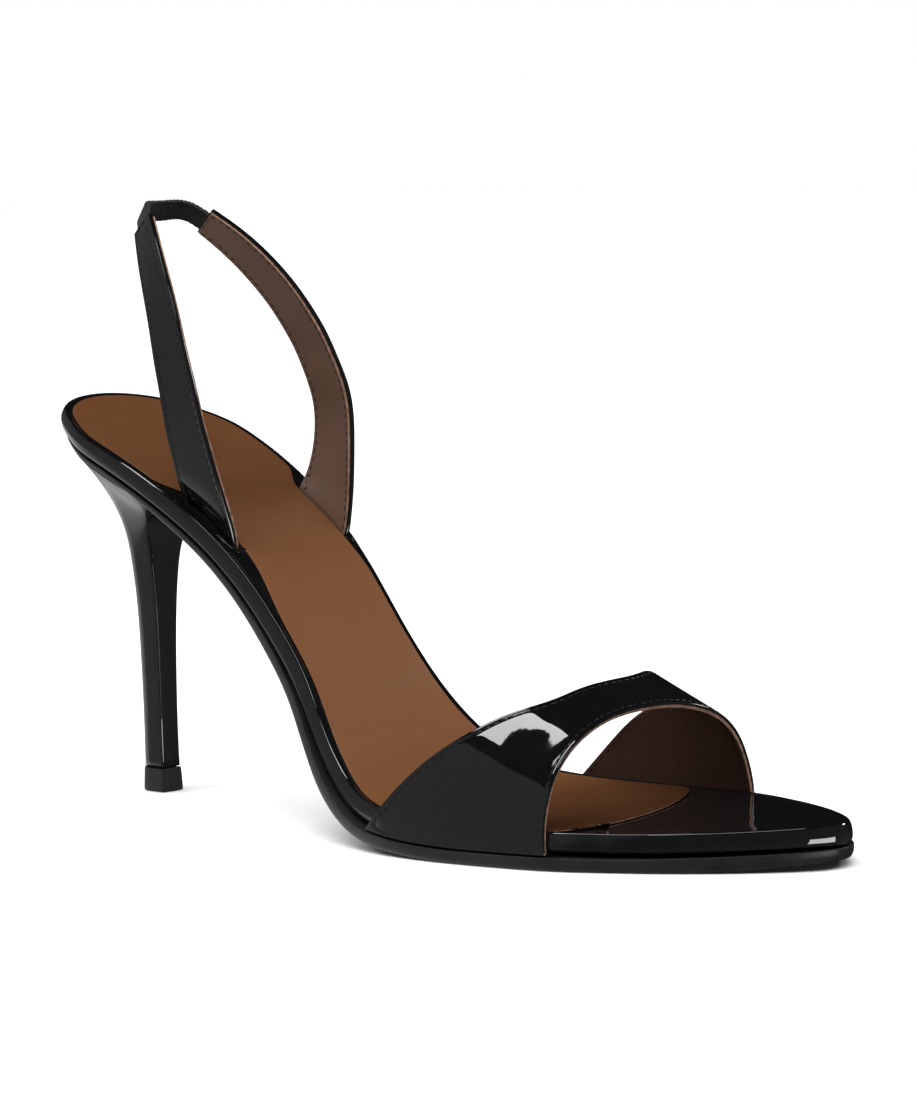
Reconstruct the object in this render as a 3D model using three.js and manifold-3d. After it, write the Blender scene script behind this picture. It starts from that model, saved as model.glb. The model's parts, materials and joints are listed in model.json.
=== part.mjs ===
// A slingback sandal for the right foot, on a high stiletto heel, in millimetres.
// The toe points along +X, the inner side of the foot is +Y, and the shoe stands on Z = 0.
//
// The board is the heart of the shoe. Its outline is a table of half widths, its climb from
// the ball of the foot to the heel is a second table, and `bend` lays every flat piece on it.
import * as THREE from 'three';
import Module from 'manifold-3d';

const wasm = await Module();
wasm.setup();

// Driving sizes
const shoeLength = 236;        // heel to toe, along the floor
const ballWidth = 76;          // across the widest part of the board
const seatHeight = 98.9;       // top of the board at the very back, above the floor
const boardThickness = 4.8;
const boardLip = 2;            // how far the rounded top edge of the board reaches in
const soleThickness = 3.15;    // under the ball of the foot
const soleOverhang = 2.3;      // outsole beyond the board, under the wall of the vamp
const sockThickness = 1.2;
const sockLip = 2.2;           // bare rim of the board around the sock
const sockReach = 185.3;       // front end of the sock, from the back of the board
const sockFrontRadius = 80;    // the arc that ends the sock under the vamp
const sockFrontSide = -20;     // where that arc reaches furthest, towards the outer side
const notchEnd = 4;            // the sock's notch at a strap's foot ends this far past the foot
const outerNotchEnd = 16;      // and in front of the outer foot, where it fades slowly
const vampWall = 1.5;
const vampHeight = 47.8;       // crest of the vamp over the board's underside, at vampFrom
const vampFall = 0.464;        // how steeply the crest falls towards the toe
const vampCrestSide = 4;       // the crest lies towards the inner side
const strapThickness = 2;
const strapWidth = 13.5;       // of a sling strap just above the board
const slingLift = 71;          // ends of the sling straps above their feet
const slingBack = 30.6;        // ends of the sling straps behind their feet
const slingBow = 25;           // half the widest opening between the sling straps
const footPlace = 62.2;        // middle of a sling strap's foot, from the back of the board
const footWidth = 19.6;        // length of a sling strap's foot, along the board
const footInset = 4.8;         // the foot's distance from the rim of the board
const footDepth = 3;           // how deep the foot sits in the board's slot
const elasticWidth = 5;
const elasticThickness = 1.6;
const elasticBack = 5.4;       // middle of the elastic behind the ends of the straps
const elasticLift = 2.8;       // and above them
const liftHeight = 5.9;        // top lift under the heel
const liftFlare = 0.5;         // how far the top lift stands out around the tip
const heelTipBack = 15.6;      // back of the heel's tip, from the back of the board
const heelTipDepth = 8.6;      // the tip, front to back
const heelTipWidth = 6.2;      // the tip, across its breast
const heelTopBack = 3;         // back of the heel under the seat
const heelTopLength = 38;      // the heel under the seat, front to back
const heelTopWidth = 47;       // and across
const seatTuck = 1.6;          // how far the board's side leans in under the seat
const gap = 0.3;               // between pieces that meet

// Half width and sideways shift of the board, as shares of the ball width
const boardRows = [
  { at: 0, half: 0, shift: 0.005 },
  { at: 0.05, half: 0.28, shift: 0.005 },
  { at: 0.11, half: 0.346, shift: 0.002 },
  { at: 0.2, half: 0.331, shift: -0.006 },
  { at: 0.3, half: 0.291, shift: -0.019 },
  { at: 0.4, half: 0.269, shift: -0.05 },
  { at: 0.5, half: 0.36, shift: -0.08 },
  { at: 0.6, half: 0.476, shift: -0.045 },
  { at: 0.68, half: 0.5, shift: -0.008 },
  { at: 0.76, half: 0.486, shift: 0.022 },
  { at: 0.84, half: 0.412, shift: 0.049 },
  { at: 0.91, half: 0.296, shift: 0.059 },
  { at: 0.96, half: 0.18, shift: 0.066 },
  { at: 1, half: 0, shift: 0.07 },
];

// Climb of the board's top, as shares of the height from the ball to the seat
const climbRows = [
  { at: 0, climb: 1 },
  { at: 0.08, climb: 0.926 },
  { at: 0.16, climb: 0.841 },
  { at: 0.24, climb: 0.731 },
  { at: 0.32, climb: 0.575 },
  { at: 0.4, climb: 0.36 },
  { at: 0.47, climb: 0.157 },
  { at: 0.54, climb: 0.034 },
  { at: 0.6, climb: 0.009 },
  { at: 0.68, climb: 0 },
  { at: 0.83, climb: 0 },
  { at: 0.91, climb: 0.006 },
  { at: 1, climb: 0.018 },
];

// Outsole: thickness and overhang as shares of their sizes at the ball
const soleRows = [
  { at: 0, thick: 0.5, over: -1 },
  { at: 0.12, thick: 0.5, over: -0.75 },
  { at: 0.24, thick: 0.65, over: -0.3 },
  { at: 0.34, thick: 0.85, over: -0.1 },
  { at: 0.42, thick: 1.02, over: 0.15 },
  { at: 0.5, thick: 1.08, over: 0.75 },
  { at: 0.6, thick: 1, over: 1 },
  { at: 0.79, thick: 1, over: 1 },
  { at: 0.86, thick: 1.02, over: 0.6 },
  { at: 0.93, thick: 1.1, over: 0.3 },
  { at: 1, thick: 0.85, over: 0 },
];

// Rear and front edges of the vamp, as shares of the shoe's length, by the angle
// from the outer side of the foot (0) over the crest (90) to the inner side (180)
const vampRows = [
  { angle: 0, rear: 0.56, front: 0.781 },
  { angle: 22, rear: 0.631, front: 0.777 },
  { angle: 45, rear: 0.689, front: 0.774 },
  { angle: 67, rear: 0.726, front: 0.775 },
  { angle: 90, rear: 0.731, front: 0.779 },
  { angle: 113, rear: 0.709, front: 0.782 },
  { angle: 135, rear: 0.688, front: 0.776 },
  { angle: 158, rear: 0.62, front: 0.769 },
  { angle: 180, rear: 0.556, front: 0.767 },
];

// A sling strap from its foot to its end: shares of slingLift, slingBack, slingBow and
// strapWidth, and the lean of its width in degrees, where plus has the front edge lower
const slingRows = [
  { t: 0.3, lift: 0.21, back: 0.033, bow: 0.93, width: 1, lean: -3 },
  { t: 0.45, lift: 0.37, back: 0.09, bow: 1, width: 0.925, lean: -14 },
  { t: 0.6, lift: 0.54, back: 0.23, bow: 0.956, width: 0.85, lean: -22 },
  { t: 0.75, lift: 0.71, back: 0.432, bow: 0.836, width: 0.78, lean: -30.5 },
  { t: 0.88, lift: 0.862, back: 0.69, bow: 0.66, width: 0.7, lean: -39 },
  { t: 1, lift: 1, back: 1, bow: 0.4, width: 0.58, lean: -44 },
];

// Sections of the heel between its top under the seat and its tip: how far each has grown
// from the tip to the top, its height as a share, and how much it follows the seat's tilt
const heelRows = [
  { up: 0, back: 0, middle: 0, breast: 0, half: 0, follow: 0 },
  { up: 0.2, back: 0, middle: 0, breast: -0.01, half: -0.003, follow: 0 },
  { up: 0.46, back: 0.025, middle: -0.04, breast: 0, half: 0.01, follow: 0 },
  { up: 0.63, back: 0.055, middle: -0.1, breast: 0.01, half: 0.045, follow: 0 },
  { up: 0.74, back: 0.1, middle: -0.14, breast: 0.025, half: 0.09, follow: 0 },
  { up: 0.81, back: 0.14, middle: -0.12, breast: 0.045, half: 0.135, follow: 0.1 },
  { up: 0.872, back: 0.17, middle: -0.08, breast: 0.11, half: 0.225, follow: 0.3 },
  { up: 0.925, back: 0.29, middle: 0.1, breast: 0.28, half: 0.38, follow: 0.55 },
  { up: 0.958, back: 0.49, middle: 0.38, breast: 0.5, half: 0.56, follow: 0.76 },
  { up: 0.985, back: 0.8, middle: 0.78, breast: 0.8, half: 0.81, follow: 0.93 },
  { up: 1, back: 1, middle: 1, breast: 1, half: 1, follow: 1 },
];

const finish = (color, roughness, metalness = 0) => ({ color, roughness, metalness });
const patent = finish(0x0c0c0d, 0.08);
const soleLeather = finish(0x161514, 0.45);
const brownLeather = finish(0x6a4630, 0.5);
const elasticCloth = finish(0x141414, 0.8);
const liftRubber = finish(0x131313, 0.55);

const degrees = Math.PI / 180;
const ballStack = soleThickness + gap + boardThickness;

// A smooth curve through one column of a table. It never swings past a row.
function through(rows, column, key = 'at') {
  const xs = rows.map((row) => row[key]);
  const ys = rows.map((row) => row[column]);
  const slopes = xs.slice(1).map((x, i) => (ys[i + 1] - ys[i]) / (x - xs[i]));
  const tangents = xs.map((x, i) => {
    if (i === 0 || i === xs.length - 1) return 0;
    const before = slopes[i - 1];
    const after = slopes[i];
    return before * after <= 0 ? 0 : (2 * before * after) / (before + after);
  });
  tangents[0] = 2 * slopes[0] - tangents[1];
  tangents[xs.length - 1] = 2 * slopes.at(-1) - tangents.at(-2);
  return (x) => {
    let i = 0;
    while (i < slopes.length - 1 && x > xs[i + 1]) i += 1;
    const span = xs[i + 1] - xs[i];
    const s = (x - xs[i]) / span;
    const start = (1 + 2 * s) * (1 - s) ** 2 * ys[i] + s * (1 - s) ** 2 * span * tangents[i];
    const end = s * s * (3 - 2 * s) * ys[i + 1] + s * s * (s - 1) * span * tangents[i + 1];
    return start + end;
  };
}

// The board's outline. The square of the half width is what is smoothed, so both ends
// of the board come out round.
const squareRows = boardRows.map((row) => ({ at: row.at, square: row.half ** 2 }));
const halfSquare = through(squareRows, 'square');
const shiftShare = through(boardRows, 'shift');
function sides(x) {
  const at = THREE.MathUtils.clamp(x / shoeLength, 0, 1);
  const half = Math.sqrt(Math.max(halfSquare(at), 0)) * ballWidth;
  const middle = shiftShare(at) * ballWidth;
  return { inner: middle + half, outer: middle - half };
}

// Distance of both strap feet from the middle of the shoe
const boardAtFoot = sides(footPlace);
const footSide = (boardAtFoot.inner - boardAtFoot.outer) / 2 - footInset;

// Height of the board's top and its unit normal in the XZ plane
const climb = through(climbRows, 'climb');
function rise(x) {
  const at = THREE.MathUtils.clamp(x / shoeLength, 0, 1);
  return ballStack + climb(at) * (seatHeight - ballStack);
}
function normalAt(x) {
  const step = 0.5;
  const station = THREE.MathUtils.clamp(x, step, shoeLength - step);
  const fall = rise(station - step) - rise(station + step);
  return new THREE.Vector2(fall, 2 * step).normalize();
}

// A point of a flat piece, laid on the board at a height over the board's top
function bend(x, y, up) {
  const normal = normalAt(x);
  return new THREE.Vector3(x + up * normal.x, y, rise(x) + up * normal.y);
}

// Height of the surface that lies `up` over the board's top, above the floor point x
function levelAt(x, up) {
  let station = x;
  for (let turn = 0; turn < 6; turn += 1) station = x - up * normalAt(station).x;
  return rise(station) + up * normalAt(station).y;
}

// A named mesh from points and faces, turned so that its faces point outwards
function solid(name, look, points, faces) {
  const corners = points.flatMap((p) => [p.x, p.y, p.z]);
  const volume = faces.reduce((sum, [a, b, c]) => {
    const cross = new THREE.Vector3().crossVectors(points[b], points[c]);
    return sum + points[a].dot(cross);
  }, 0);
  const outward = volume > 0 ? faces : faces.map(([a, b, c]) => [a, c, b]);
  const geometry = new THREE.BufferGeometry();
  geometry.setAttribute('position', new THREE.Float32BufferAttribute(corners, 3));
  geometry.setIndex(outward.flat());
  geometry.computeVertexNormals();
  const mesh = new THREE.Mesh(geometry, new THREE.MeshStandardMaterial(look));
  mesh.name = name;
  return mesh;
}

// Faces of a stack of equal rings, closed at both ends. A ring's points i and n - i lie
// opposite each other, so each end is covered by strips from side to side.
function stackFaces(ringCount, n) {
  const faces = [];
  for (let ring = 0; ring < ringCount - 1; ring += 1) {
    for (let i = 0; i < n; i += 1) {
      const a = ring * n + i;
      const b = ring * n + (i + 1) % n;
      faces.push([a, b, b + n], [a, b + n, a + n]);
    }
  }
  const last = (ringCount - 1) * n;
  for (let i = 0; i < n / 2; i += 1) {
    const here = [i, i + 1, (n - i - 1) % n, (n - i) % n];
    const tri = [[here[0], here[1], here[2]], [here[0], here[2], here[3]]];
    const real = tri.filter(([a, b, c]) => a !== b && b !== c && a !== c);
    real.forEach(([a, b, c]) => faces.push([a, c, b], [last + a, last + b, last + c]));
  }
  return faces;
}

// A plan outline with matching points on both sides, from its back to its front
const stationCount = 54;
function planLoop(from, to, sidesAt) {
  const stations = Array.from({ length: stationCount + 1 }, (_, k) => {
    return from + ((to - from) * (1 - Math.cos((Math.PI * k) / stationCount))) / 2;
  });
  const inner = stations.map((x) => new THREE.Vector2(x, sidesAt(x).inner));
  const outer = stations.map((x) => new THREE.Vector2(x, sidesAt(x).outer));
  inner[0].y = (inner[0].y + outer[0].y) / 2;
  inner[stationCount].y = (inner[stationCount].y + outer[stationCount].y) / 2;
  return [...inner, ...outer.slice(1, stationCount).reverse()];
}

// Moves a plan outline inwards by a distance that may change along the shoe
function insetLoop(loop, inset) {
  return loop.map((p, i) => {
    const next = loop[(i + 1) % loop.length];
    const before = loop[(i + loop.length - 1) % loop.length];
    const outward = new THREE.Vector2(before.y - next.y, next.x - before.x).normalize();
    return p.clone().addScaledVector(outward, -inset(p.x));
  });
}

// A flat piece of leather laid on the board: rings of an inset and a height, top to bottom
function plate(name, look, loop, rings) {
  const points = rings.flatMap(({ inset, up }) => {
    return insetLoop(loop, inset).map((p) => bend(p.x, p.y, up(p.x)));
  });
  return solid(name, look, points, stackFaces(rings.length, loop.length));
}

const same = (value) => () => value;
const boardLoop = planLoop(0, shoeLength, sides);

// Board, wrapped in patent leather, with a rounded rim
function insoleBoard() {
  const t = boardThickness;
  const tuck = (x) => seatTuck * (1 - THREE.MathUtils.smoothstep(x, 0.05, 0.3 * shoeLength));
  return plate('insole_board', patent, boardLoop, [
    { inset: same(boardLip), up: same(0) },
    { inset: same(boardLip * 0.4), up: same(-0.06 * t) },
    { inset: same(boardLip * 0.1), up: same(-0.18 * t) },
    { inset: same(0), up: same(-0.4 * t) },
    { inset: (x) => 0.5 * tuck(x), up: same(-0.8 * t) },
    { inset: (x) => 0.6 + tuck(x), up: same(-t) },
  ]);
}

// Outsole, thin under the waist and seat and thick under the ball, with a bevelled edge
const soleThick = through(soleRows, 'thick');
const soleOver = through(soleRows, 'over');
const soleTop = -boardThickness - gap;
const soleUnder = (x) => soleTop - soleThickness * soleThick(x / shoeLength);
function outsole() {
  const over = (x) => -soleOverhang * soleOver(x / shoeLength);
  const bevel = 0.3 * soleThickness;
  return plate('outsole', soleLeather, boardLoop, [
    { inset: over, up: same(soleTop) },
    { inset: (x) => over(x) + 0.2, up: (x) => soleTop + 0.65 * (soleUnder(x) - soleTop) },
    { inset: (x) => over(x) + bevel, up: soleUnder },
  ]);
}

// Sock: stays clear of the feet of the sling straps and ends in an arc under the vamp
function sock() {
  const clear = footSide - strapThickness / 2 - gap;
  const notch = (x, frontEnd) => {
    const end = x < footPlace ? notchEnd : frontEnd;
    return 1 - THREE.MathUtils.smoothstep(Math.abs(x - footPlace) - footWidth / 2, 0.5, end);
  };
  const rim = insetLoop(boardLoop, same(sockLip));
  const sideOf = (points, x) => {
    const i = Math.max(1, points.findIndex((p) => p.x >= x));
    const share = (x - points[i - 1].x) / (points[i].x - points[i - 1].x);
    return THREE.MathUtils.lerp(points[i - 1].y, points[i].y, share);
  };
  const innerRim = rim.slice(0, stationCount + 1);
  const outerRim = [rim[0], ...rim.slice(stationCount).reverse()];
  const sockSides = (x) => {
    const arc = Math.sqrt(Math.max(0, 2 * sockFrontRadius * (sockReach - x)));
    const inner = sideOf(innerRim, x);
    const outer = sideOf(outerRim, x);
    const innerNotch = notch(x, notchEnd) * Math.max(0, inner - clear);
    const outerNotch = notch(x, outerNotchEnd) * Math.max(0, -clear - outer);
    return {
      inner: Math.min(inner - innerNotch, sockFrontSide + arc),
      outer: Math.max(outer + outerNotch, sockFrontSide - arc),
    };
  };
  const loop = planLoop(rim[0].x, sockReach, sockSides);
  return plate('sock', brownLeather, loop, [
    { inset: same(0.3), up: same(gap + sockThickness) },
    { inset: same(0), up: same(gap + 0.7 * sockThickness) },
    { inset: same(0), up: same(gap) },
  ]);
}

// A point of the vamp, on a section of the last: up the side of the board and over the foot.
// Skin 0 is the lining's face and skin 1 the outer face.
const archSide = 0.87;         // powers of the section's curve: fuller than an ellipse at the sides
const archTop = 0.98;
const vampFrom = 145;          // where vampHeight is measured, from the back of the board
function vampPoint(x, angle, skin) {
  const low = rise(x) - boardThickness;
  const crest = vampHeight - vampFall * (x - vampFrom) - (1 - skin) * vampWall;
  const z = low + crest * Math.abs(Math.sin(angle)) ** archTop;
  const normal = normalAt(x);
  const station = x + Math.max(0, rise(x) - z) * normal.x * normal.y;
  const { inner, outer } = sides(station);
  const off = gap + 0.1 + skin * vampWall;
  const swing = Math.abs(Math.cos(angle)) ** archSide;
  const reach = Math.cos(angle) > 0 ? outer - off - vampCrestSide : inner + off - vampCrestSide;
  return new THREE.Vector3(x, vampCrestSide + reach * swing, z);
}

// Vamp strap: an arch over the forefoot, open at both ends and underneath
function vampStrap() {
  const across = 30;
  const along = 6;
  const rear = through(vampRows, 'rear', 'angle');
  const front = through(vampRows, 'front', 'angle');
  const rings = [];
  for (let i = 0; i <= across; i += 1) {
    const turn = (180 * i) / across;
    const angle = turn * degrees;
    const edge = [rear(turn) * shoeLength, front(turn) * shoeLength];
    const row = Array.from({ length: along + 1 }, (_, k) => {
      return THREE.MathUtils.lerp(edge[0], edge[1], k / along);
    });
    const outside = row.map((x) => vampPoint(x, angle, 1));
    const inside = row.map((x) => vampPoint(x, angle, 0));
    rings.push([...outside, ...inside.reverse()]);
  }
  return solid('vamp_strap', patent, rings.flat(), bandFaces(rings.length, rings[0].length));
}

// Faces of a stack of flat-sided rings whose first half of points faces its second half
function bandFaces(ringCount, n) {
  const faces = stackFaces(ringCount, n).slice(0, (ringCount - 1) * n * 2);
  const last = (ringCount - 1) * n;
  for (let i = 0; i < n / 2 - 1; i += 1) {
    const [a, b, c, d] = [i, i + 1, n - 2 - i, n - 1 - i];
    faces.push([a, c, b], [a, d, c], [last + a, last + b, last + c], [last + a, last + c, last + d]);
  }
  return faces;
}

// Middle and width of a sling strap at t, from 0 at the board to 1 at its end
const slingFoot = { t: 0, lift: 0, back: 0, bow: footSide / slingBow, width: footWidth / strapWidth };
const footNormal = normalAt(footPlace);
slingFoot.lean = Math.atan2(footNormal.x, footNormal.y) / degrees;
const slingTable = [slingFoot, ...slingRows];
const slingColumns = ['lift', 'back', 'bow', 'width', 'lean'];
const sling = Object.fromEntries(slingColumns.map((c) => [c, through(slingTable, c, 't')]));
function slingMiddle(t, side) {
  const x = footPlace - sling.back(t) * slingBack;
  return new THREE.Vector3(x, side * sling.bow(t) * slingBow, rise(footPlace) + sling.lift(t) * slingLift);
}
function slingFrame(t, side) {
  const step = 0.01;
  const middle = slingMiddle(t, side);
  const ahead = slingMiddle(Math.min(t + step, 1), side);
  const behind = slingMiddle(Math.max(t - step, 0), side);
  const along = ahead.sub(behind).normalize();
  const lean = sling.lean(t) * degrees;
  const across = new THREE.Vector3(Math.cos(lean), 0, -Math.sin(lean));
  const face = new THREE.Vector3().crossVectors(across, along).normalize();
  return { middle, along, across, face, width: sling.width(t) * strapWidth };
}

// Four corners of a ribbon's section
function ribbonRing({ middle, across, face, width }, thickness) {
  const corner = (u, v) => {
    const p = middle.clone().addScaledVector(across, (u * width) / 2);
    return p.addScaledVector(face, (v * thickness) / 2);
  };
  return [corner(-1, 1), corner(1, 1), corner(1, -1), corner(-1, -1)];
}

// The foot of a sling strap, or with room around it the slot that it stands in
function footRing(side, up, room) {
  const half = footWidth / 2 + room;
  const thick = strapThickness / 2 + room;
  const corner = (u, v) => {
    const p = bend(footPlace + u * half * footNormal.y, side * footSide, up);
    p.y -= side * v * thick;
    return p;
  };
  return [corner(-1, 1), corner(1, 1), corner(1, -1), corner(-1, -1)];
}

function slingStrap(name, side) {
  const steps = 26;
  const rings = [footRing(side, -footDepth, 0), footRing(side, 0, 0)];
  for (let k = 2; k <= steps; k += 1) {
    const ring = ribbonRing(slingFrame(k / steps, side), strapThickness);
    rings.push(side > 0 ? ring : [ring[3], ring[2], ring[1], ring[0]]);
  }
  return solid(name, patent, rings.flat(), bandFaces(rings.length, 4));
}

// Back elastic: leaves each strap's end in the strap's own direction and turns round the ankle
function backElastic() {
  const steps = 9;
  const end = slingFrame(1, 1);
  const apex = new THREE.Vector3(end.middle.x - elasticBack, 0, end.middle.z + elasticLift);
  const start = end.middle.clone().addScaledVector(end.along, gap);
  const pull = 0.55 * start.distanceTo(apex);
  const leave = start.clone().addScaledVector(end.along, pull);
  const arrive = apex.clone().add(new THREE.Vector3(0, 0.8 * pull, 0));
  const path = new THREE.CubicBezierCurve3(start, leave, arrive, apex);
  const upright = new THREE.Vector3(0.25, 0, 1).normalize();
  const half = Array.from({ length: steps + 1 }, (_, k) => {
    const t = k / steps;
    const along = path.getTangent(t);
    const across = end.across.clone().lerp(upright, t).normalize();
    const face = new THREE.Vector3().crossVectors(across, along).normalize();
    const middle = path.getPoint(t);
    return ribbonRing({ middle, across, face, width: elasticWidth }, elasticThickness);
  });
  const mirrored = half.slice(0, steps).reverse().map((ring) => {
    return ring.map((p) => new THREE.Vector3(p.x, -p.y, p.z));
  });
  const rings = [...half, ...mirrored];
  return solid('back_elastic', elasticCloth, rings.flat(), bandFaces(rings.length, 4));
}

// One D-shaped section of the heel or its lift: a round back and a flat, hollowed breast
function heelRing({ back, middle, breast, half }, heightAt) {
  const arc = 10;
  const hollow = 0.05 * half;
  const ring = [];
  ring.push([back, 0]);
  for (let i = 1; i <= arc; i += 1) {
    const turn = (i / arc) * 90 * degrees;
    ring.push([middle - (middle - back) * Math.cos(turn), half * Math.sin(turn)]);
  }
  ring.push([breast - 0.12 * half, half * 0.99]);
  ring.push([breast, half * 0.88]);
  ring.push([breast - hollow, half * 0.45]);
  const other = ring.slice(1).reverse().map(([x, y]) => [x, -y]);
  ring.push([breast - 1.3 * hollow, 0]);
  return [...ring, ...other].map(([x, y]) => new THREE.Vector3(x, y, heightAt(x)));
}

// The heel's underside at the tip, and the rings from there up to the seat
function heel() {
  const tip = {
    back: heelTipBack,
    middle: heelTipBack + 0.52 * heelTipDepth,
    breast: heelTipBack + heelTipDepth,
    half: heelTipWidth / 2,
  };
  const top = {
    back: heelTopBack,
    middle: heelTopBack + heelTopWidth / 2,
    breast: heelTopBack + heelTopLength,
    half: heelTopWidth / 2,
  };
  const under = (x) => levelAt(x, soleUnder(x) - gap);
  const bottom = liftHeight + gap;
  const topLevel = under(top.breast);
  const rings = heelRows.map((row) => {
    const blend = (key) => THREE.MathUtils.lerp(tip[key], top[key], row[key]);
    const section = Object.fromEntries(Object.keys(tip).map((key) => [key, blend(key)]));
    const level = THREE.MathUtils.lerp(bottom, topLevel, row.up);
    return heelRing(section, (x) => level + row.follow * (under(x) - under(section.breast)));
  });
  return solid('heel', patent, rings.flat(), stackFaces(rings.length, rings[0].length));
}

// Top lift: a little wider than the heel's tip and slightly flared
function topLift() {
  const section = (proud) => ({
    back: heelTipBack - proud,
    middle: heelTipBack + 0.52 * heelTipDepth,
    breast: heelTipBack + heelTipDepth + proud,
    half: heelTipWidth / 2 + proud,
  });
  const rings = [
    heelRing(section(0.5 * liftFlare), same(liftHeight)),
    heelRing(section(liftFlare), same(0.07 * liftHeight)),
    heelRing(section(0.7 * liftFlare), same(0)),
  ];
  return solid('top_lift', liftRubber, rings.flat(), stackFaces(rings.length, rings[0].length));
}

// Boolean cut of one closed mesh by others
function toManifold(mesh) {
  const { geometry } = mesh;
  const vertProperties = new Float32Array(geometry.attributes.position.array);
  const triVerts = new Uint32Array(geometry.index.array);
  return new wasm.Manifold(new wasm.Mesh({ numProp: 3, vertProperties, triVerts }));
}
function cut(mesh, tools) {
  const left = tools.reduce((body, tool) => body.subtract(toManifold(tool)), toManifold(mesh));
  const { vertProperties, triVerts } = left.getMesh();
  const geometry = new THREE.BufferGeometry();
  geometry.setAttribute('position', new THREE.BufferAttribute(vertProperties, 3));
  geometry.setIndex(new THREE.BufferAttribute(triVerts, 1));
  geometry.computeVertexNormals();
  mesh.geometry = geometry;
  return mesh;
}
function slot(side) {
  const rings = [footRing(side, -footDepth - gap, gap), footRing(side, 1, 2 * gap)];
  return solid('slot', patent, rings.flat(), bandFaces(2, 4));
}

const shoe = new THREE.Group();
shoe.add(outsole());
shoe.add(cut(insoleBoard(), [slot(1), slot(-1)]));
shoe.add(sock());
shoe.add(vampStrap());
shoe.add(slingStrap('sling_strap_outer', -1));
shoe.add(slingStrap('sling_strap_inner', 1));
shoe.add(backElastic());
shoe.add(heel());
shoe.add(topLift());

// The origin is on the floor, under the middle of the shoe
const middle = new THREE.Box3().setFromObject(shoe).getCenter(new THREE.Vector3());
shoe.position.set(-middle.x, -middle.y, 0);

export default shoe;
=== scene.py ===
# %% [markdown]
# A slingback sandal in black patent leather.
# The CAD frame holds the true shape of every solid. This lesson dresses it: most pieces
# start from a copy of their solid, get finer faces and rounded edges, and then a finish.

# %% Load the frame
import json
import math
from collections import Counter
from contextlib import contextmanager

import bmesh
import bpy
from mathutils import Matrix, Vector
from mathutils.bvhtree import BVHTree
from mathutils.kdtree import KDTree

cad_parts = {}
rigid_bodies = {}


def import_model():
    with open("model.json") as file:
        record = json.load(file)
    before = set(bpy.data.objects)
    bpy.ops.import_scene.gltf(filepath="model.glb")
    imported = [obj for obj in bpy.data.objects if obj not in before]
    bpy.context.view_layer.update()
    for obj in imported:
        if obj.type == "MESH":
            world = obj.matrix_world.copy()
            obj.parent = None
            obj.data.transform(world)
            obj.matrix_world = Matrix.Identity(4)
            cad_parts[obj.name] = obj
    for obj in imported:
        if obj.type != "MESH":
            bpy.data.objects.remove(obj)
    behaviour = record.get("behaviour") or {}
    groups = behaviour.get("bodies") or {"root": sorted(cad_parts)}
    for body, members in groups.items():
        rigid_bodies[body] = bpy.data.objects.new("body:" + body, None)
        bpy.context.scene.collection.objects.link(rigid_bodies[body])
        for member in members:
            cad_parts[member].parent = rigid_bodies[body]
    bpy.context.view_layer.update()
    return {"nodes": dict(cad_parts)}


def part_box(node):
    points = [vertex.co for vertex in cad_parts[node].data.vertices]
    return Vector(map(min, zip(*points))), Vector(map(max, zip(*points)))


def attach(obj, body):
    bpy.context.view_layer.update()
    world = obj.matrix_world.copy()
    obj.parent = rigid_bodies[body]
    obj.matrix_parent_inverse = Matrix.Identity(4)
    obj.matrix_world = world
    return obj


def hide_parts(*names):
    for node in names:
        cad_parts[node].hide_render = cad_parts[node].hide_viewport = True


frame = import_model()
scene = bpy.context.scene
mm = 0.001
print("CAD nodes:", sorted(frame["nodes"]))

# %% [markdown]
# The camera comes first, because it decides what has to look right. It stands low, in front
# of the outer side of the shoe, with a long lens, and it is rolled a little.

# %% Camera
camera_turn = math.radians(44.07)      # from the shoe's outer side towards its toe
camera_lift = math.radians(5.71)
camera_roll = math.radians(-1.5)
camera_distance = 1146.5 * mm
camera_target = Vector((7.84, 0.54, 65.4)) * mm
image_height = 1102                    # pixels, the longer side of the picture
focal_pixels = 4899

away = Vector((
    math.sin(camera_turn) * math.cos(camera_lift),
    -math.cos(camera_turn) * math.cos(camera_lift),
    math.sin(camera_lift),
))
camera = bpy.data.objects.new("camera", bpy.data.cameras.new("camera"))
scene.collection.objects.link(camera)
camera.location = camera_target + away * camera_distance
camera.rotation_mode = "QUATERNION"
level = (-away).to_track_quat("-Z", "Y")
camera.rotation_quaternion = level @ Matrix.Rotation(camera_roll, 3, "Z").to_quaternion()
camera.data.sensor_fit = "AUTO"
camera.data.sensor_width = 36
camera.data.lens = 36 * focal_pixels / image_height
scene.camera = camera
print("lens", round(camera.data.lens, 1), "mm")

# %% [markdown]
# Operators act on whatever is selected, so each step starts by choosing one piece. Inside
# edit mode, faces, edges and corners are chosen by a test on their place or direction.

# %% Selecting and editing
def only(*pieces):
    """Leaves just these pieces selected, and makes the last one active."""
    bpy.ops.object.select_all(action="DESELECT")
    for piece in pieces:
        piece.select_set(True)
    bpy.context.view_layer.objects.active = pieces[-1]


@contextmanager
def editing(piece, part="FACE"):
    only(piece)
    bpy.ops.object.mode_set(mode="EDIT")
    bpy.ops.mesh.select_mode(type=part)
    bpy.ops.mesh.select_all(action="DESELECT")
    yield
    bpy.ops.object.mode_set(mode="OBJECT")


def choose(piece, kind, test):
    """In edit mode, selects the faces, edges or verts that pass the test."""
    parts = bmesh.from_edit_mesh(piece.data)
    found = [part for part in getattr(parts, kind) if test(part)]
    for part in found:
        part.select_set(True)
    bmesh.update_edit_mesh(piece.data)
    return len(found)


def choose_side(piece, direction):
    """Selects the largest face that looks this way."""
    parts = bmesh.from_edit_mesh(piece.data)
    side = max(parts.faces, key=lambda face: face.normal.dot(direction) * face.calc_area())
    side.select_set(True)
    parts.faces.active = side
    bmesh.update_edit_mesh(piece.data)


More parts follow.
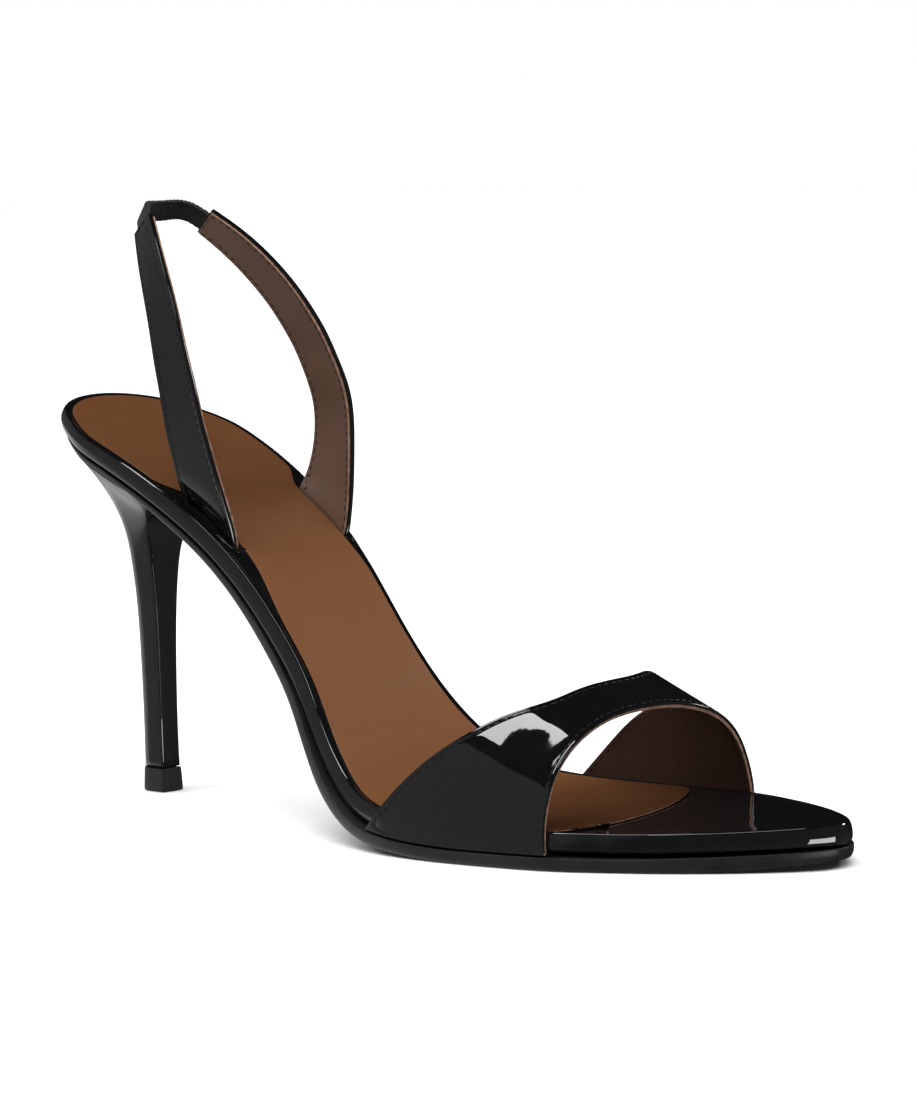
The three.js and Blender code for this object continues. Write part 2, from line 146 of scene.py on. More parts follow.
def modify(piece, kind, **settings):
    """Adds a modifier and applies it at once."""
    only(piece)
    modifier = piece.modifiers.new(kind.lower(), kind)
    for setting, value in settings.items():
        setattr(modifier, setting, value)
    bpy.ops.object.modifier_apply(modifier=modifier.name)


def smooth(piece, levels):
    modify(piece, "SUBSURF", levels=levels, render_levels=levels)
    only(piece)
    bpy.ops.object.shade_smooth()


def tree_of(piece):
    """A search tree for places on a piece."""
    corners = [v.co for v in piece.data.vertices]
    return BVHTree.FromPolygons(corners, [face.vertices for face in piece.data.polygons])


def report(piece):
    triangles = sum(len(face.vertices) - 2 for face in piece.data.polygons)
    print(piece.name, triangles, "triangles")


# %% [markdown]
# A CAD node arrives as loose triangles. A copy of it is merged, and its triangles are joined
# in pairs, so that the rows of the solid come back as four-sided faces. Subdivision then
# turns those rows into one smooth surface.

# %% Copies of the solids
def from_cad(node, name):
    solid = frame["nodes"][node]
    piece = bpy.data.objects.new(name, solid.data.copy())
    scene.collection.objects.link(piece)
    piece.data.name = name
    piece.data.materials.clear()
    with editing(piece):
        bpy.ops.mesh.select_all(action="SELECT")
        bpy.ops.mesh.customdata_custom_splitnormals_clear()
        bpy.ops.mesh.remove_doubles(threshold=0.01 * mm)
        bpy.ops.mesh.faces_shade_smooth()
    return piece


def pair_triangles(piece):
    with editing(piece):
        bpy.ops.mesh.select_all(action="SELECT")
        bpy.ops.mesh.tris_convert_to_quads(face_threshold=math.pi, shape_threshold=math.pi)


def open_sheet(node, name, direction, spread=40):
    """The side of a solid that looks this way, as an open sheet of faces."""
    piece = from_cad(node, name)
    pair_triangles(piece)
    with editing(piece):
        choose_side(piece, direction)
        bpy.ops.mesh.faces_select_linked_flat(sharpness=math.radians(spread))
        bpy.ops.mesh.select_all(action="INVERT")
        bpy.ops.mesh.delete(type="FACE")
    return piece


def reface(piece, direction, cuts, spread=9):
    """Swaps one broad side of a plate for a fine grid that runs from rim to rim."""
    with editing(piece):
        choose_side(piece, direction)
        bpy.ops.mesh.faces_select_linked_flat(sharpness=math.radians(spread))
        bpy.ops.mesh.delete(type="FACE")
        parts = bmesh.from_edit_mesh(piece.data)
        border = {v for edge in parts.edges if edge.is_boundary for v in edge.verts}
        island = reach(max(border, key=lambda v: v.co.x))
        for v in parts.verts:
            v.select_set(v not in island)
        bmesh.update_edit_mesh(piece.data)
        bpy.ops.mesh.select_mode(type="VERT")
        bpy.ops.mesh.delete(type="VERT")
        bpy.ops.mesh.select_mode(type="EDGE")
        parts = bmesh.from_edit_mesh(piece.data)
        rim = [edge for edge in parts.edges if edge.is_boundary]
        corners = {v for edge in rim for v in edge.verts}
        ends = {min(corners, key=lambda v: v.co.x), max(corners, key=lambda v: v.co.x)}
        for edge in rim:
            edge.select_set(not ends & set(edge.verts))
        bmesh.update_edit_mesh(piece.data)
        bpy.ops.mesh.bridge_edge_loops(number_cuts=cuts, smoothness=0, interpolation="LINEAR")
        bpy.ops.mesh.select_all(action="SELECT")
        bpy.ops.mesh.fill_holes(sides=0)
        bpy.ops.mesh.normals_make_consistent(inside=False)
    pair_triangles(piece)


def reach(start):
    """All corners joined to this one by edges."""
    found = {start}
    edge_of_found = [start]
    while edge_of_found:
        v = edge_of_found.pop()
        for edge in v.link_edges:
            other = edge.other_vert(v)
            if other not in found:
                found.add(other)
                edge_of_found.append(other)
    return found


# %% [markdown]
# Finishes. Each one is a Principled shader with its own bump, on Object coordinates, so the
# grain has its real size on every piece. One helper makes the shader and one adds a bump.

# %% Helpers for finishes
def finish(name, color, roughness, **sockets):
    material = bpy.data.materials.new(name)
    material.use_nodes = True
    shader = material.node_tree.nodes["Principled BSDF"]
    shader.inputs["Base Color"].default_value = (*color, 1)
    shader.inputs["Roughness"].default_value = roughness
    for socket, value in sockets.items():
        shader.inputs[socket.replace("_", " ")].default_value = value
    return material


def add_node(material, kind, settings=None, **inputs):
    node = material.node_tree.nodes.new(kind)
    for setting, value in (settings or {}).items():
        setattr(node, setting, value)
    for socket, value in inputs.items():
        node.inputs[socket.replace("_", " ")].default_value = value
    return node


def object_place(material, stretch=(1, 1, 1)):
    """Object coordinates in metres, stretched by a share along each axis."""
    place = add_node(material, "ShaderNodeTexCoord")
    mapping = add_node(material, "ShaderNodeMapping", Scale=stretch)
    material.node_tree.links.new(place.outputs["Object"], mapping.inputs["Vector"])
    return mapping.outputs["Vector"]


def noise(material, size, detail=2, stretch=(1, 1, 1)):
    """Noise whose spots are about this size, in metres."""
    spots = add_node(material, "ShaderNodeTexNoise", Scale=1 / size, Detail=detail)
    material.node_tree.links.new(object_place(material, stretch), spots.inputs["Vector"])
    return spots.outputs["Fac"]


def emboss(material, heights):
    """Chains bumps, each a pattern and its depth in metres, onto the shader's normal."""
    links = material.node_tree.links
    last = None
    for pattern, depth in heights:
        bump = add_node(material, "ShaderNodeBump", Strength=1, Distance=depth)
        links.new(pattern, bump.inputs["Height"])
        if last:
            links.new(last, bump.inputs["Normal"])
        last = bump.outputs["Normal"]
    shader = material.node_tree.nodes["Principled BSDF"]
    links.new(last, shader.inputs["Normal"])
    if "Coat Normal" in shader.inputs:
        links.new(last, shader.inputs["Coat Normal"])


def tint(material, pattern, low, high, span=(0.35, 0.65)):
    """Lets a pattern move the base colour between two colours."""
    ramp = add_node(material, "ShaderNodeValToRGB")
    for stop, place, color in zip(ramp.color_ramp.elements, span, (low, high)):
        stop.position = place
        stop.color = (*color, 1)
    links = material.node_tree.links
    shader = material.node_tree.nodes["Principled BSDF"]
    links.new(pattern, ramp.inputs["Fac"])
    links.new(ramp.outputs["Color"], shader.inputs["Base Color"])


# %% [markdown]
# Patent leather is leather under a thick clear film. It is black and almost a mirror, and
# what gives it away is that its reflections waver, because the leather below is not flat.

# %% Patent leather
patent = finish(
    "patent_leather", (0.0035, 0.0035, 0.004), 0.4,
    Specular_IOR_Level=0, Coat_Weight=1, Coat_Roughness=0.03)
emboss(patent, [
    (noise(patent, 18 * mm, detail=1), 0.45 * mm),
    (noise(patent, 1.4 * mm, detail=1), 0.003 * mm),
])

# %% [markdown]
# The sock and the linings are smooth brown leather. Its grain shows as tiny pebbles and its
# colour is a little cloudy. Cut edges are paler, because the dye does not reach the middle.

# %% Brown leather, lining and cut edge
def smooth_leather(name, color, roughness, specular):
    material = finish(name, color, roughness, Specular_IOR_Level=specular)
    emboss(material, [
        (noise(material, 3 * mm, detail=3), 0.05 * mm),
        (noise(material, 0.5 * mm, detail=2), 0.02 * mm),
    ])
    return material


def brown_lining(name, low, high):
    material = smooth_leather(name, high, 0.5, 0.4)
    tint(material, noise(material, 18 * mm, detail=4), low, high)
    return material


# Paints shade into a colour along the shoe: the tones stand for how light falls on it, not for
# wear. A noise cloud of the leather's own uneven colour lies over them.
def painted_shade_along_shoe(material, from_x, to_x, stops, dark, light):
    """Sets the colour along the shoe, from pairs of a share of the length and a tone."""
    links = material.node_tree.links
    split = add_node(material, "ShaderNodeSeparateXYZ")
    links.new(object_place(material), split.inputs["Vector"])
    span = add_node(material, "ShaderNodeMapRange", From_Min=from_x, From_Max=to_x)
    links.new(split.outputs["X"], span.inputs["Value"])
    shade_tones = add_node(material, "ShaderNodeValToRGB")
    while len(shade_tones.color_ramp.elements) < len(stops):
        shade_tones.color_ramp.elements.new(0.5)
    for element, (share, tone) in zip(shade_tones.color_ramp.elements, stops):
        element.position = share
        element.color = (tone, tone, tone, 1)
    links.new(span.outputs["Result"], shade_tones.inputs["Fac"])
    cloud = add_node(material, "ShaderNodeMath", {"operation": "MULTIPLY_ADD"})
    links.new(noise(material, 14 * mm, detail=4), cloud.inputs[0])
    cloud.inputs[1].default_value = 0.2
    links.new(shade_tones.outputs["Color"], cloud.inputs[2])
    tint(material, cloud.outputs["Value"], dark, light, span=(0.1, 1))


sock_leather = smooth_leather("sock_leather", (0.14, 0.055, 0.019), 0.3, 0.35)
# The sock's colour along its length is painted shade: darker at the seat, lightest at the arch,
# and darkest at the front, where the vamp shades it.
painted_shade_along_shoe(sock_leather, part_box("sock")[0].x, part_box("sock")[1].x,
     ((0, 0.33), (0.28, 0.33), (0.42, 0.8), (0.58, 1), (0.68, 0.6), (0.8, 0.1), (1, 0.0)),
     (0.055, 0.021, 0.0075), (0.15, 0.06, 0.022))
lining_leather = brown_lining("lining_leather", (0.085, 0.043, 0.026), (0.105, 0.054, 0.033))
# A darker copy of the lining, for the inside of the vamp: painted shade, standing in for the shade
# the vamp casts on its own inside.
shaded_lining = brown_lining("shaded_lining", (0.042, 0.02, 0.0125), (0.054, 0.027, 0.0165))
cut_edge = finish("cut_edge", (0.22, 0.125, 0.085), 0.8)
tint(cut_edge, noise(cut_edge, 1.5 * mm, detail=3), (0.14, 0.075, 0.045), (0.3, 0.17, 0.12))
emboss(cut_edge, [(noise(cut_edge, 0.4 * mm), 0.04 * mm)])

# %% Sole leather, thread, elastic and lift
sole_leather = finish("sole_leather", (0.012, 0.011, 0.0105), 0.42, Specular_IOR_Level=0.4)
tint(
    sole_leather, noise(sole_leather, 9 * mm, detail=5),
    (0.009, 0.0085, 0.008), (0.016, 0.0145, 0.0135))
emboss(sole_leather, [
    (noise(sole_leather, 2.5 * mm, detail=4, stretch=(0.3, 1, 1)), 0.03 * mm),
    (noise(sole_leather, 0.4 * mm), 0.012 * mm),
])
thread = finish("black_thread", (0.006, 0.006, 0.006), 0.35)
emboss(thread, [(noise(thread, 0.3 * mm), 0.03 * mm)])
elastic_cloth = finish("elastic_cloth", (0.006, 0.006, 0.006), 0.8, Sheen_Weight=0.05)
emboss(elastic_cloth, [(noise(elastic_cloth, 0.35 * mm, detail=3), 0.06 * mm)])
lift_rubber = finish("lift_rubber", (0.012, 0.012, 0.0125), 0.55)
emboss(lift_rubber, [(noise(lift_rubber, 0.5 * mm, detail=3), 0.02 * mm)])

# %% [markdown]
# The board carries the foot. It is a stiff plate bent to the foot's shape, wrapped in patent
# leather, so its rim is round. Its broad top gets a fine grid, because a mirror finish shows
# every long, uneven face. The top is hollowed a little for the foot, and the wrapped
# leather makes a low roll along its lip, as high as the sock that lies inside it.

# %% Board
up = Vector((0, 0, 1))
hollow_depth = 0.5 * mm
hollow_reach = 16 * mm
lip_width = 1.2 * mm
lip_height = 0.9 * mm
places_per_edge = 8


def hollow(corners, lip):
    """Lowers corners by their distance from the board's lip, down to the hollow's depth."""
    for corner in corners:
        share = min(lip.find(corner.co)[2] / hollow_reach, 1)
        corner.co.z -= hollow_depth * (1 - (1 - share) ** 2)


board = from_cad("insole_board", "patent_board")
reface(board, up, cuts=12)
with editing(board):
    choose_side(board, up)
    bpy.ops.mesh.faces_select_linked_flat(sharpness=math.radians(20))
    bpy.ops.mesh.inset(thickness=lip_width)
    bpy.ops.mesh.select_more(use_face_step=False)
    parts = bmesh.from_edit_mesh(board.data)
    top = {v for face in parts.faces if face.select for v in face.verts}
    lip_edges = [edge for edge in parts.edges if sum(face.select for face in edge.link_faces) == 1]
    for corner in {v for edge in lip_edges for v in edge.verts}:
        corner.co.z += lip_height
    lip_places = KDTree(places_per_edge * len(lip_edges))
    for number, edge in enumerate(lip_edges):
        for step in range(places_per_edge):
            place = edge.verts[0].co.lerp(edge.verts[1].co, step / places_per_edge)
            lip_places.insert(place, places_per_edge * number + step)
    lip_places.balance()
    hollow(top, lip_places)
    bmesh.update_edit_mesh(board.data)
print("board top", len(top), "corners, lip of", len(lip_edges), "edges")
board.data.materials.append(patent)
smooth(board, 2)
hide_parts("insole_board")
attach(board, "root")
report(board)

# %% Outsole
outsole = from_cad("outsole", "leather_outsole")
reface(outsole, -up, cuts=10)
with editing(outsole, "EDGE"):
    bpy.ops.mesh.edges_select_sharp(sharpness=math.radians(35))
    bpy.ops.mesh.bevel(offset=0.25 * mm, segments=2)
outsole.data.materials.append(sole_leather)
smooth(outsole, 2)
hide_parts("outsole")
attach(outsole, "root")
report(outsole)

# %% [markdown]
# The sock is thin leather glued on the board a little inside its rim, so the patent shows
# around it as a fine dark line. It follows the hollow of the board, and it has a few soft
# folds where the arch bends. Its front end is cut to an arc under the vamp, and there the
# pale cut edge shows.

# %% Helpers for sheets
def border_of(sheet):
    """The corner numbers along the border of an open sheet."""
    uses = Counter(key for face in sheet.data.polygons for key in face.edge_keys)
    return {v for key, count in uses.items() if count == 1 for v in key}


def fold(sheet, start, end, half_width, depth):
    """Presses a soft trough along the line from start to end, with a ridge on each side."""
    line = end - start
    for corner in sheet.data.vertices:
        along = (corner.co - start).dot(line) / line.length_squared
        if not 0 < along < 1:
            continue
        off = (corner.co - start - line * along).length / half_width
        if off > 3:
            continue
        fade = math.sin(math.pi * along)
        corner.co -= corner.normal * depth * fade * (1 - off * off) * math.exp(-off * off / 2)


# %% Sock
sock_solid_height = 1.4 * mm        # top of the solid sock above the board
sock_thickness = 0.35 * mm
bare_edge_length = 22 * mm          # how far back from the toe the cut edge is left pale
sock = from_cad("sock", "leather_sock")
reface(sock, up, cuts=12)
with editing(sock):
    choose_side(sock, up)
    bpy.ops.mesh.faces_select_linked_flat(sharpness=math.radians(40))
    bpy.ops.mesh.select_all(action="INVERT")
    bpy.ops.mesh.delete(type="FACE")
hollow(sock.data.vertices, lip_places)
smooth(sock, 2)
sock_height = tree_of(sock)


def on_sock(x, y):
    """The place on the sock above this point of the floor, in mm."""
    return sock_height.ray_cast(Vector((x, y, 300)) * mm, -up)[0]


for x, outer_end, inner_end, lean in (
        (-7, -10, 5, 2), (-11, -12, 3, 1.5), (-14.5, -10, 4, 2), (-18, -9, 1, 1), (-23, -8, 3, 2)):
    fold(sock, on_sock(x, outer_end), on_sock(x + lean, inner_end), 1.1 * mm, 0.09 * mm)
fold(sock, on_sock(-28, 5), on_sock(6, 8), 2.2 * mm, -0.4 * mm)    # a trace of a ridge at the arch
with editing(sock):
    bpy.ops.mesh.select_all(action="SELECT")
    bpy.ops.transform.shrink_fatten(value=sock_thickness - sock_solid_height)
sock.data.materials.append(sock_leather)
sock.data.materials.append(cut_edge)
modify(sock, "SOLIDIFY", thickness=0.9 * sock_thickness, offset=-1, material_offset_rim=1)
sock_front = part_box("sock")[1].x - bare_edge_length
for face in sock.data.polygons:
    if face.center.x < sock_front:
        face.material_index = 0
with editing(sock, "EDGE"):
    bpy.ops.mesh.edges_select_sharp(sharpness=math.radians(50))
    bpy.ops.mesh.bevel(offset=0.12 * mm, segments=2)
smooth(sock, 1)
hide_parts("sock")
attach(sock, "root")
report(sock)

# %% [markdown]
# A strap is two leathers glued together: patent outside, brown lining inside, sewn along
# both edges. The stitch line pulls the patent in, so it gets a shallow groove there. The
# groove starts as insets of the sheet's border, and the stitches later follow it.

# %% Layers of a strap
stitch_inset = 1.3 * mm
groove_width = 0.35 * mm
groove_depth = 0.14 * mm


def rings_from_border(piece):
    """Corner numbers of a sheet, in sets: its border, the next ring inwards, and so on."""
    links = {}
    for a, b in piece.data.edge_keys:
        links.setdefault(a, set()).add(b)
        links.setdefault(b, set()).add(a)
    seen = border_of(piece)
    rings = [seen]
    while rings[-1]:
        following = {n for v in rings[-1] for n in links[v]} - seen
        seen = seen | following
        rings.append(following)
    return rings[:-1], links


def walk(ring, links):
    """The corners of a closed ring in order."""
    start = min(ring)
    path = [start]
    while True:
        ahead = [n for n in links[path[-1]] if n in ring and n not in path]
        if not ahead:
            return path
        path.append(min(ahead))


def press_seam(sheet):
    """Adds the stitch line to an open sheet and returns its places in order."""
    with editing(sheet):
        bpy.ops.mesh.select_all(action="SELECT")
        bpy.ops.mesh.normals_make_consistent(inside=False)
        for width in (stitch_inset - groove_width, groove_width, groove_width):
            bpy.ops.mesh.inset(thickness=width, use_boundary=True)
    rings, links = rings_from_border(sheet)
    seam = rings[2]
    path = [sheet.data.vertices[v].co.copy() for v in walk(seam, links)]
    with editing(sheet, "VERT"):
        choose(sheet, "verts", lambda v: v.index in seam)
        bpy.ops.transform.shrink_fatten(value=-groove_depth)
    return path


def duplicate(piece, name):
    copy = bpy.data.objects.new(name, piece.data.copy())
    scene.collection.objects.link(copy)
    return copy


def face_outwards(sheet, away_from):
    """Turns a sheet's faces away from a point."""
    towards = sum((face.center - away_from).dot(face.normal) for face in sheet.data.polygons)
    if towards < 0:
        with editing(sheet):
            bpy.ops.mesh.select_all(action="SELECT")
            bpy.ops.mesh.flip_normals()


def make_strap(node, direction, heart, names, patent_thickness, lining_thickness, lining_inset):
    """Builds both layers of a strap from the outer side of its solid."""
    outer_name, lining_name = names
    sheet = open_sheet(node, outer_name, direction)
    lining = duplicate(sheet, lining_name)
    seam = press_seam(sheet)
    face_outwards(sheet, heart)
    sheet.data.materials.append(patent)
    modify(sheet, "SOLIDIFY", thickness=patent_thickness, offset=-1)
    with editing(sheet, "EDGE"):
        bpy.ops.mesh.edges_select_sharp(sharpness=math.radians(50))
        bpy.ops.mesh.bevel(offset=0.3 * mm, segments=3)
    smooth(sheet, 2)

    with editing(lining):
        bpy.ops.mesh.select_all(action="SELECT")
        bpy.ops.mesh.normals_make_consistent(inside=False)
        bpy.ops.mesh.inset(thickness=lining_inset, use_boundary=True)
        bpy.ops.mesh.select_all(action="INVERT")
        bpy.ops.mesh.delete(type="FACE")
    face_outwards(lining, heart)
    with editing(lining):
        bpy.ops.mesh.select_all(action="SELECT")
        bpy.ops.transform.shrink_fatten(value=-patent_thickness)
    # The vamp's lining takes the darker copy, which is painted shade.
    lining.data.materials.append(shaded_lining if node == "vamp_strap" else lining_leather)
    lining.data.materials.append(cut_edge)
    modify(lining, "SOLIDIFY", thickness=lining_thickness, offset=-1, material_offset_rim=1)
    with editing(lining, "EDGE"):
        bpy.ops.mesh.edges_select_sharp(sharpness=math.radians(50))
        bpy.ops.mesh.bevel(offset=0.12 * mm, segments=2)
    smooth(lining, 2)

    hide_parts(node)
    for piece in (sheet, lining):
        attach(piece, "root")
        report(piece)
    return sheet, lining, seam


# %% Vamp strap
vamp_low, vamp_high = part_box("vamp_strap")
vamp_heart = (vamp_low + vamp_high) / 2
vamp_heart.z = vamp_low.z
vamp, vamp_lining, vamp_seam = make_strap(
    "vamp_strap", up, vamp_heart, ("patent_vamp", "vamp_lining"),
    patent_thickness=0.7 * mm, lining_thickness=0.8 * mm, lining_inset=0.15 * mm)

# %% Sling straps
slings = {}
for side, node in ((-1, "sling_strap_outer"), (1, "sling_strap_inner")):
    low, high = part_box(node)
    outwards = Vector((0, side, 0))
    heart = (low + high) / 2 - 30 * mm * outwards
    name = node.replace("sling_strap_", "")
    slings[side] = make_strap(
        node, outwards, heart, (f"patent_sling_{name}", f"sling_lining_{name}"),
        patent_thickness=1.2 * mm, lining_thickness=0.8 * mm, lining_inset=0.5 * mm)

# %% [markdown]
# One stitch is a short, plump length of thread with both ends in the leather. It is modelled
# once, copied along the seam, laid on the leather and joined into one piece.

# %% Stitches
stitch_pitch = 2 * mm
stitch_length = 1.5 * mm
stitch_radius = 0.14 * mm


def curve_through(points, closed=True):
    """A smooth line through the points, as many short steps."""
    count = len(points)
    steps = 12
    line = []
    for i in range(count if closed else count - 1):
        if closed:
            a, b, c, d = (points[(i + k) % count] for k in (-1, 0, 1, 2))
        else:
            a, b, c, d = (points[min(max(i + k, 0), count - 1)] for k in (-1, 0, 1, 2))
        for step in range(steps):
            t = step / steps
            line.append(0.5 * (2 * b + (c - a) * t + (2 * a - 5 * b + 4 * c - d) * t * t
                               + (3 * b - a - 3 * c + d) * t ** 3))
    return line


def clear_of(tree, point, room):
    """True where a point lies outside a piece by more than this room."""
    nearest, normal, _, distance = tree.find_nearest(point)
    return (point - nearest).dot(normal) > 0 and distance > room


def make_stitch():
    bpy.ops.mesh.primitive_uv_sphere_add(segments=8, ring_count=6, radius=1)
    stitch = bpy.context.object
    stitch.scale = (stitch_length / 2, stitch_radius, stitch_radius)
    bpy.ops.object.transform_apply(location=True, rotation=True, scale=True)
    bpy.ops.object.shade_smooth()
    stitch.data.materials.append(thread)
    return stitch


def sew(name, path, leather, keep):
    """Lays stitches along a closed path on a piece, where keep allows, as one piece."""
    stitch = make_stitch()
    ground = tree_of(leather)
    line = curve_through(path)
    copies = []
    travelled = 0
    for here, ahead in zip(line, line[1:] + line[:1]):
        travelled += (ahead - here).length
        if travelled < stitch_pitch:
            continue
        travelled = 0
        if not keep(here):
            continue
        place, up, _, _ = ground.find_nearest(here)
        along = (ahead - here).normalized()
        across = up.cross(along).normalized()
        up = along.cross(across)
        frame_of_stitch = Matrix((along, across, up)).transposed().to_4x4()
        frame_of_stitch.translation = place + up * 0.3 * stitch_radius
        copy = duplicate(stitch, name)
        copy.data.transform(frame_of_stitch)
        copies.append(copy)
    only(*copies)
    bpy.ops.object.join()
    row = bpy.context.object
    row.name = name
    bpy.data.objects.remove(stitch)
    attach(row, "root")
    print(name, len(copies), "stitches")
    return row


board_tree = tree_of(board)
outsole_tree = tree_of(outsole)


def through(path, leather, depth):
    """The path on the other side of a leather, this deep below its outside."""
    ground = tree_of(leather)
    return [point - ground.find_nearest(point)[1] * depth for point in path]


def above_sole(point):
    return clear_of(outsole_tree, point, 1.8 * mm)


def above_board(point):
    return clear_of(board_tree, point, 1 * mm)


inside = 3 * mm     # past the whole thickness of a strap
sew("vamp_stitches", vamp_seam, vamp, above_sole)
sew("vamp_lining_stitches", through(vamp_seam, vamp, inside), vamp_lining, above_sole)
for side, name in ((-1, "outer"), (1, "inner")):
    sheet, lining, seam = slings[side]
    sew(f"sling_stitches_{name}", seam, sheet, above_board)
    sew(f"sling_lining_stitches_{name}", through(seam, sheet, inside), lining, above_board)

# %% [markdown]
# The heel is a hard core wrapped in patent leather. Its sections come from the solid, and
# its top and bottom edges stay crisp where it meets the sole and the lift.

# %% Heel and lift
heel = from_cad("heel", "patent_heel")
pair_triangles(heel)
with editing(heel, "EDGE"):
    bpy.ops.mesh.edges_select_sharp(sharpness=math.radians(55))
    bpy.ops.transform.edge_crease(value=1)
heel.data.materials.append(patent)
smooth(heel, 3)
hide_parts("heel")
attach(heel, "root")
report(heel)

lift = from_cad("top_lift", "rubber_lift")
pair_triangles(lift)
with editing(lift, "EDGE"):
    bpy.ops.mesh.edges_select_sharp(sharpness=math.radians(50))
    bpy.ops.mesh.bevel(offset=0.25 * mm, segments=2)
lift.data.materials.append(lift_rubber)
smooth(lift, 2)
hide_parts("top_lift")
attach(lift, "root")
report(lift)

# %% [markdown]
# The elastic is a narrow tube of cloth gathered over rubber, so small ribs cross it. Its
# ends are tucked between the two leathers of the straps.

# %% Back elastic
rib_pitch = 1.1 * mm
rib_height = 0.16 * mm
tuck = 2.5 * mm
elastic = from_cad("back_elastic", "gathered_elastic")
pair_triangles(elastic)
elastic_low, elastic_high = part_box("back_elastic")
turn_centre = Vector((elastic_high.x + 2 * mm, (elastic_low.y + elastic_high.y) / 2, 0))
for side in (-1, 1):
    into_strap = Vector((0.61, 0.48 * side, -0.63))    # the way this strap runs on
    end = max(v.co.dot(into_strap) for v in elastic.data.vertices)
    with editing(elastic, "VERT"):
        found = choose(elastic, "verts", lambda v: v.co.dot(into_strap) > end - 0.3 * mm)
        bpy.ops.transform.translate(value=into_strap * tuck)
    print("elastic end of", found, "corners")
with editing(elastic, "EDGE"):
    bpy.ops.mesh.edges_select_sharp(sharpness=math.radians(60))
    bpy.ops.mesh.bevel(offset=0.3 * mm, segments=2)
elastic.data.materials.append(elastic_cloth)
smooth(elastic, 3)
turn_radius = turn_centre.x - elastic_low.x
for corner in elastic.data.vertices:
    arm = corner.co - turn_centre
    travel = turn_radius * math.atan2(arm.y, -arm.x)
    wave = math.cos(2 * math.pi * travel / rib_pitch)
    corner.co += corner.normal * rib_height * (wave - 1) / 2
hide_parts("back_elastic")
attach(elastic, "root")
report(elastic)

# %% [markdown]
# A plain pale floor under one broad, soft light. A sun lamp with a wide angle lights the
# whole floor alike. It is kept out of the mirror of the patent leather, which gets its own
# room to reflect below.

# %% Floor and main light
scene.view_settings.view_transform = "Standard"
bpy.ops.mesh.primitive_plane_add(size=8)
floor = bpy.context.object
floor.name = "floor"
floor_white = 0.86
floor_paint = finish("floor_paint", (floor_white,) * 3, 0.9, Specular_IOR_Level=0)
floor.data.materials.append(floor_paint)
floor.visible_glossy = False


def direction(around, height):
    """A unit vector, from degrees around the shoe (0 is the toe) and degrees of height."""
    around, height = math.radians(around), math.radians(height)
    return Vector((
        math.cos(around) * math.cos(height),
        math.sin(around) * math.cos(height),
        math.sin(height),
    ))


def hang(name, light, towards, distance):
    """Hangs a lamp in this direction from the shoe, and aims it at the shoe."""
    lamp = bpy.data.objects.new(name, light)
    scene.collection.objects.link(lamp)
    lamp.location = lamp_aim + towards * distance
    lamp.rotation_mode = "QUATERNION"
    lamp.rotation_quaternion = towards.to_track_quat("Z", "Y")
    lamp.visible_camera = False
    return lamp


lamp_aim = Vector((0, 0, 60)) * mm
floor_brightness = 1.3
main_light = bpy.data.lights.new("main_light", "SUN")
main_light.energy = math.pi * floor_brightness / floor_white
main_light.angle = math.radians(110)
hang("main_light", main_light, direction(200, 78), 2).visible_glossy = False

# %% [markdown]
# Black patent leather is seen by what it mirrors, so the room around the shoe is painted
# first, in greys: a lit wall on the outer side, a bright ground behind the heel, and a dark
# ceiling. A ring of greys gives the walls and another one the ground. The camera itself
# sees plain white.

# %% Room
room = bpy.data.worlds.new("room")
scene.world = room
room.use_nodes = True
room_nodes = room.node_tree.nodes
room_links = room.node_tree.links
look = room_nodes.new("ShaderNodeSeparateXYZ")
room_links.new(room_nodes.new("ShaderNodeTexCoord").outputs["Generated"], look.inputs["Vector"])


def room_math(operation, first, second):
    node = room_nodes.new("ShaderNodeMath")
    node.operation = operation
    for socket, value in zip(node.inputs, (first, second)):
        if isinstance(value, (int, float)):
            socket.default_value = value
        else:
            room_links.new(value, socket)
    return node.outputs["Value"]


def ramp(factor, stops):
    """Greys along a factor, from pairs of a place and a brightness."""
    node = room_nodes.new("ShaderNodeValToRGB")
    elements = node.color_ramp.elements
    while len(elements) < len(stops):
        elements.new(0.5)
    for element, (place, grey) in zip(elements, stops):
        element.position = place
        element.color = (grey, grey, grey, 1)
    room_links.new(factor, node.inputs["Fac"])
    return node.outputs["Color"]


def mix(factor, first, second, blend="MIX"):
    node = room_nodes.new("ShaderNodeMixRGB")
    node.blend_type = blend
    for socket, value in zip(node.inputs, (factor, first, second)):
        if isinstance(value, (int, float, tuple)):
            socket.default_value = value
        else:
            room_links.new(value, socket)
    return node.outputs["Color"]


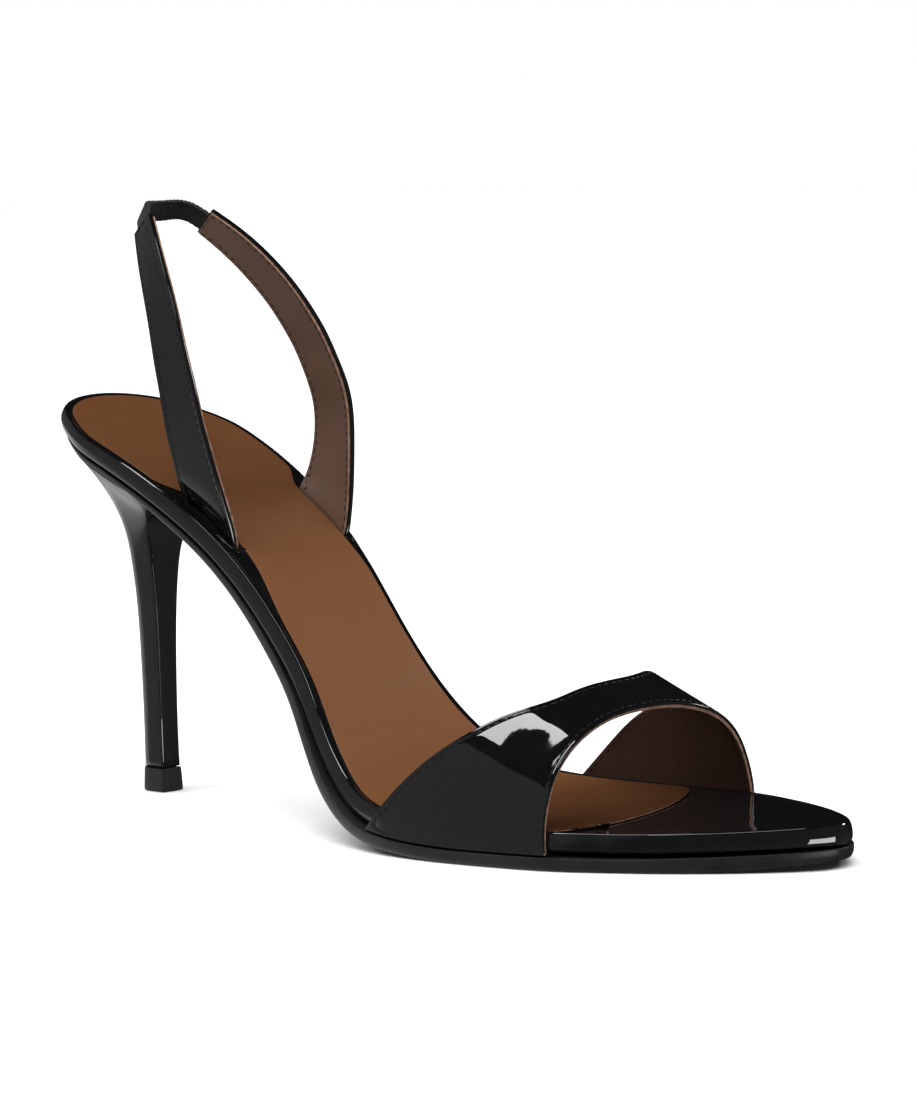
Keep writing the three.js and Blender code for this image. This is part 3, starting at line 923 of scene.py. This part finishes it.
turn = room_math("ARCTAN2", look.outputs["Y"], look.outputs["X"])
around = room_math("FRACT", room_math("DIVIDE", turn, 2 * math.pi), 0)
walls = ramp(around, [
    (degrees / 360, grey) for degrees, grey in (
        (0, 0.16), (60, 0.12), (90, 0.01), (145, 0.002), (175, 0.2), (212, 0.28),
        (225, 0.36), (272, 0.34), (279, 0.08), (360, 0.16))
])
ground = ramp(around, [
    (degrees / 360, grey) for degrees, grey in (
        (0, 0.2), (60, 0.2), (100, 0.02), (140, 0.1), (155, 0.9), (200, 0.9),
        (214, 0.4), (240, 0.4), (262, 0.4), (275, 0.12), (360, 0.2))
])
ceiling = ramp(look.outputs["Z"], [(0.725, 1), (0.742, 0.02)])
below = ramp(room_math("ADD", look.outputs["Z"], 0.5), [(0.38, 1), (0.47, 0)])
reflected = mix(1.0, mix(below, walls, ground), ceiling, "MULTIPLY")
seen = mix(room_nodes.new("ShaderNodeLightPath").outputs["Is Camera Ray"], reflected, (1, 1, 1, 1))
room_links.new(seen, room_nodes["Background"].inputs["Color"])

# %% [markdown]
# Four lamps. A high strip gives the vamp its bright patch, one lights the sock from the inner
# side, one gives the rims their thin line of light, and a low one is mirrored at the toe.

# %% Softboxes
def softbox(name, around_degrees, height, width, tall, brightness, distance=1.5, roll=0):
    """A lamp whose width and height are given in degrees, as the shoe sees them."""
    light = bpy.data.lights.new(name, "AREA")
    light.shape = "RECTANGLE"
    light.size = 2 * distance * math.tan(math.radians(width / 2))
    light.size_y = 2 * distance * math.tan(math.radians(tall / 2))
    light.energy = brightness * math.pi * light.size * light.size_y
    lamp = hang(name, light, direction(around_degrees, height), distance)
    lamp.rotation_quaternion = (
        lamp.rotation_quaternion @ Matrix.Rotation(math.radians(roll), 3, "Z").to_quaternion())
    return lamp


softbox("high_strip", 228, 70, 8, 31, 12, roll=29)
softbox("sock_softbox", 76, 23, 14, 8, 22)
softbox("rim_softbox", 310, 70, 30, 6, 8)
softbox("toe_softbox", 358, -12, 44, 18, 12)
